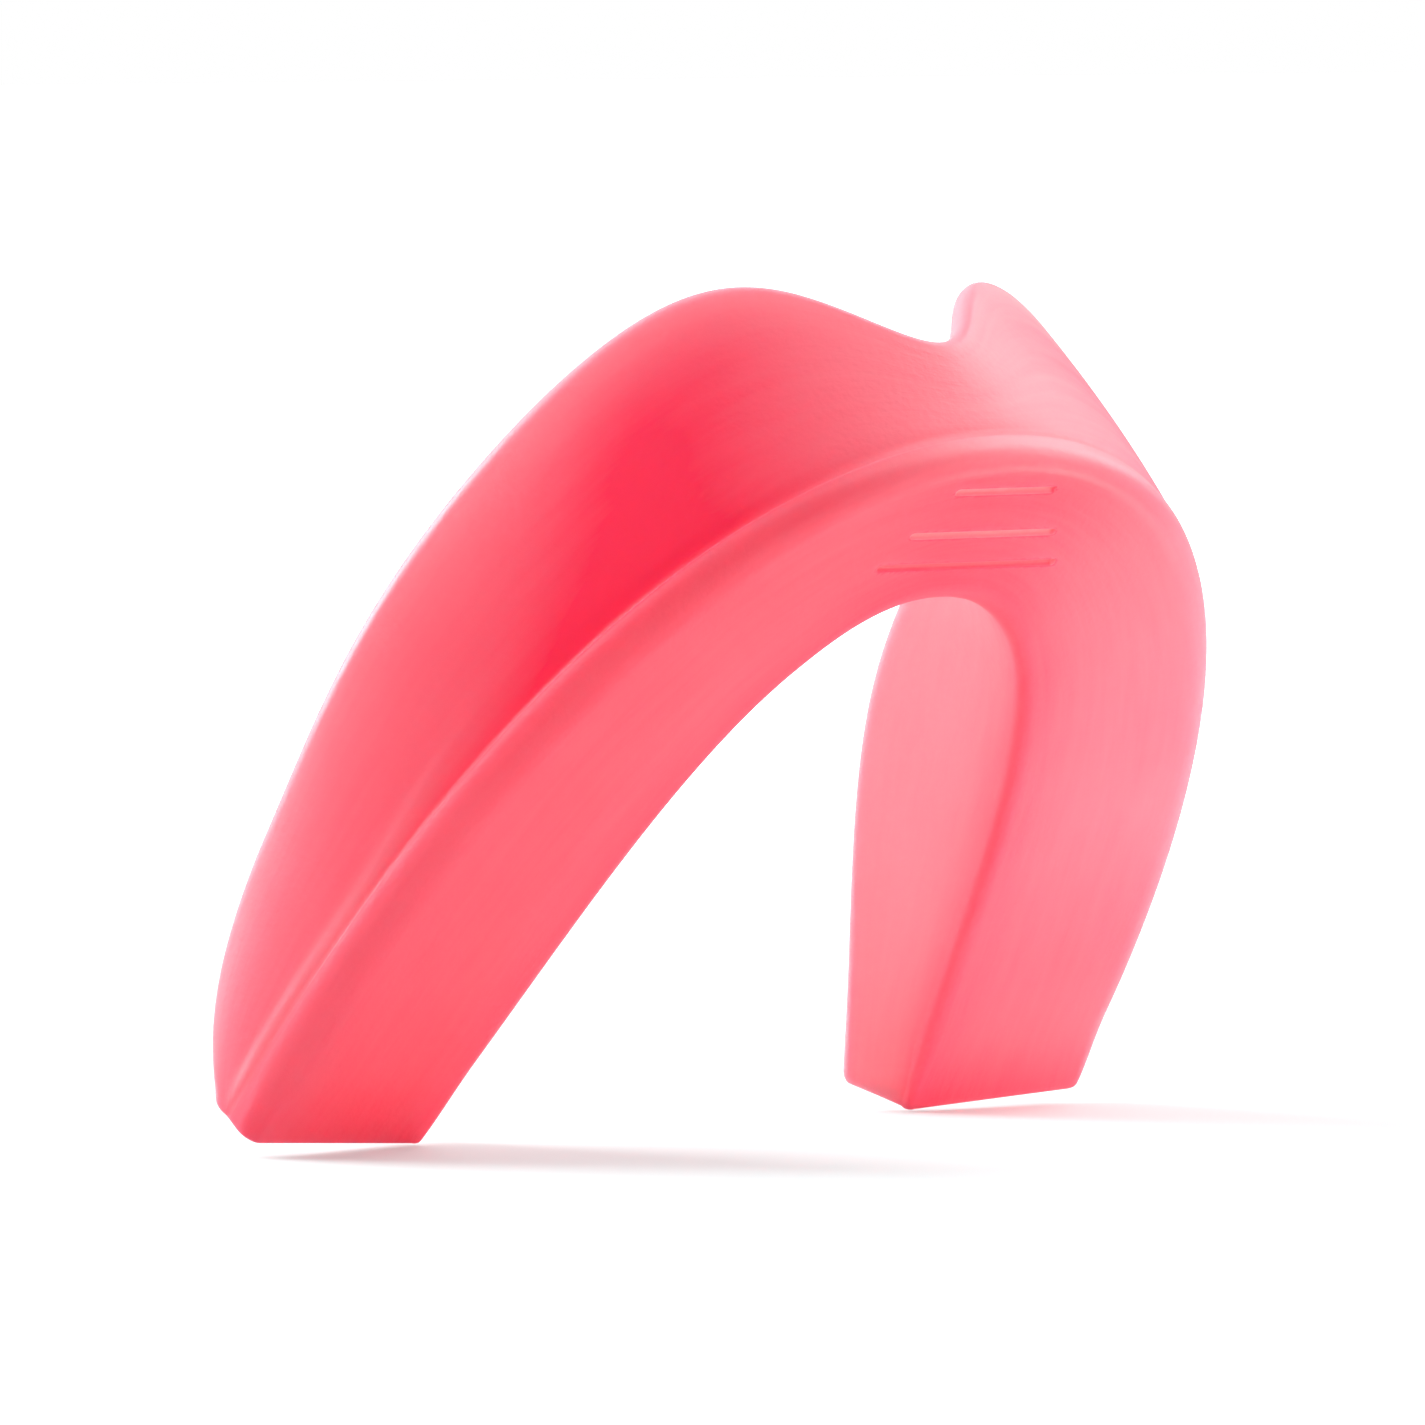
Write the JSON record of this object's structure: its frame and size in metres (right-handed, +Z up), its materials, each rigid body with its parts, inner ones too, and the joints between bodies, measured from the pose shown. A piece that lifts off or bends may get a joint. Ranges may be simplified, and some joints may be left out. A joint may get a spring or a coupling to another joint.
{
  "type": "mouthguard",
  "caption": "U-shaped translucent mouthguard tray with a tall notched outer wall, a low inner wall, a tooth channel between them and engraved grip grooves on its bite face.",
  "frame": {"origin": "bottom centre of the bounding box, on the surface that the two heels stand on", "axes": "+Z up with the tray standing on its heels, +X across the mouth, -Y towards the front teeth; the bite plane leans 38.1 degrees from upright towards -Y"},
  "size_m": [0.0586, 0.0316, 0.0453],
  "materials": {
    "coral_eva": "satin translucent coral-pink EVA moulding"
  },
  "bodies": {
    "root": {"bite_plate": "coral_eva", "outer_wall": "coral_eva", "inner_wall": "coral_eva"}
  },
  "joints": []
}
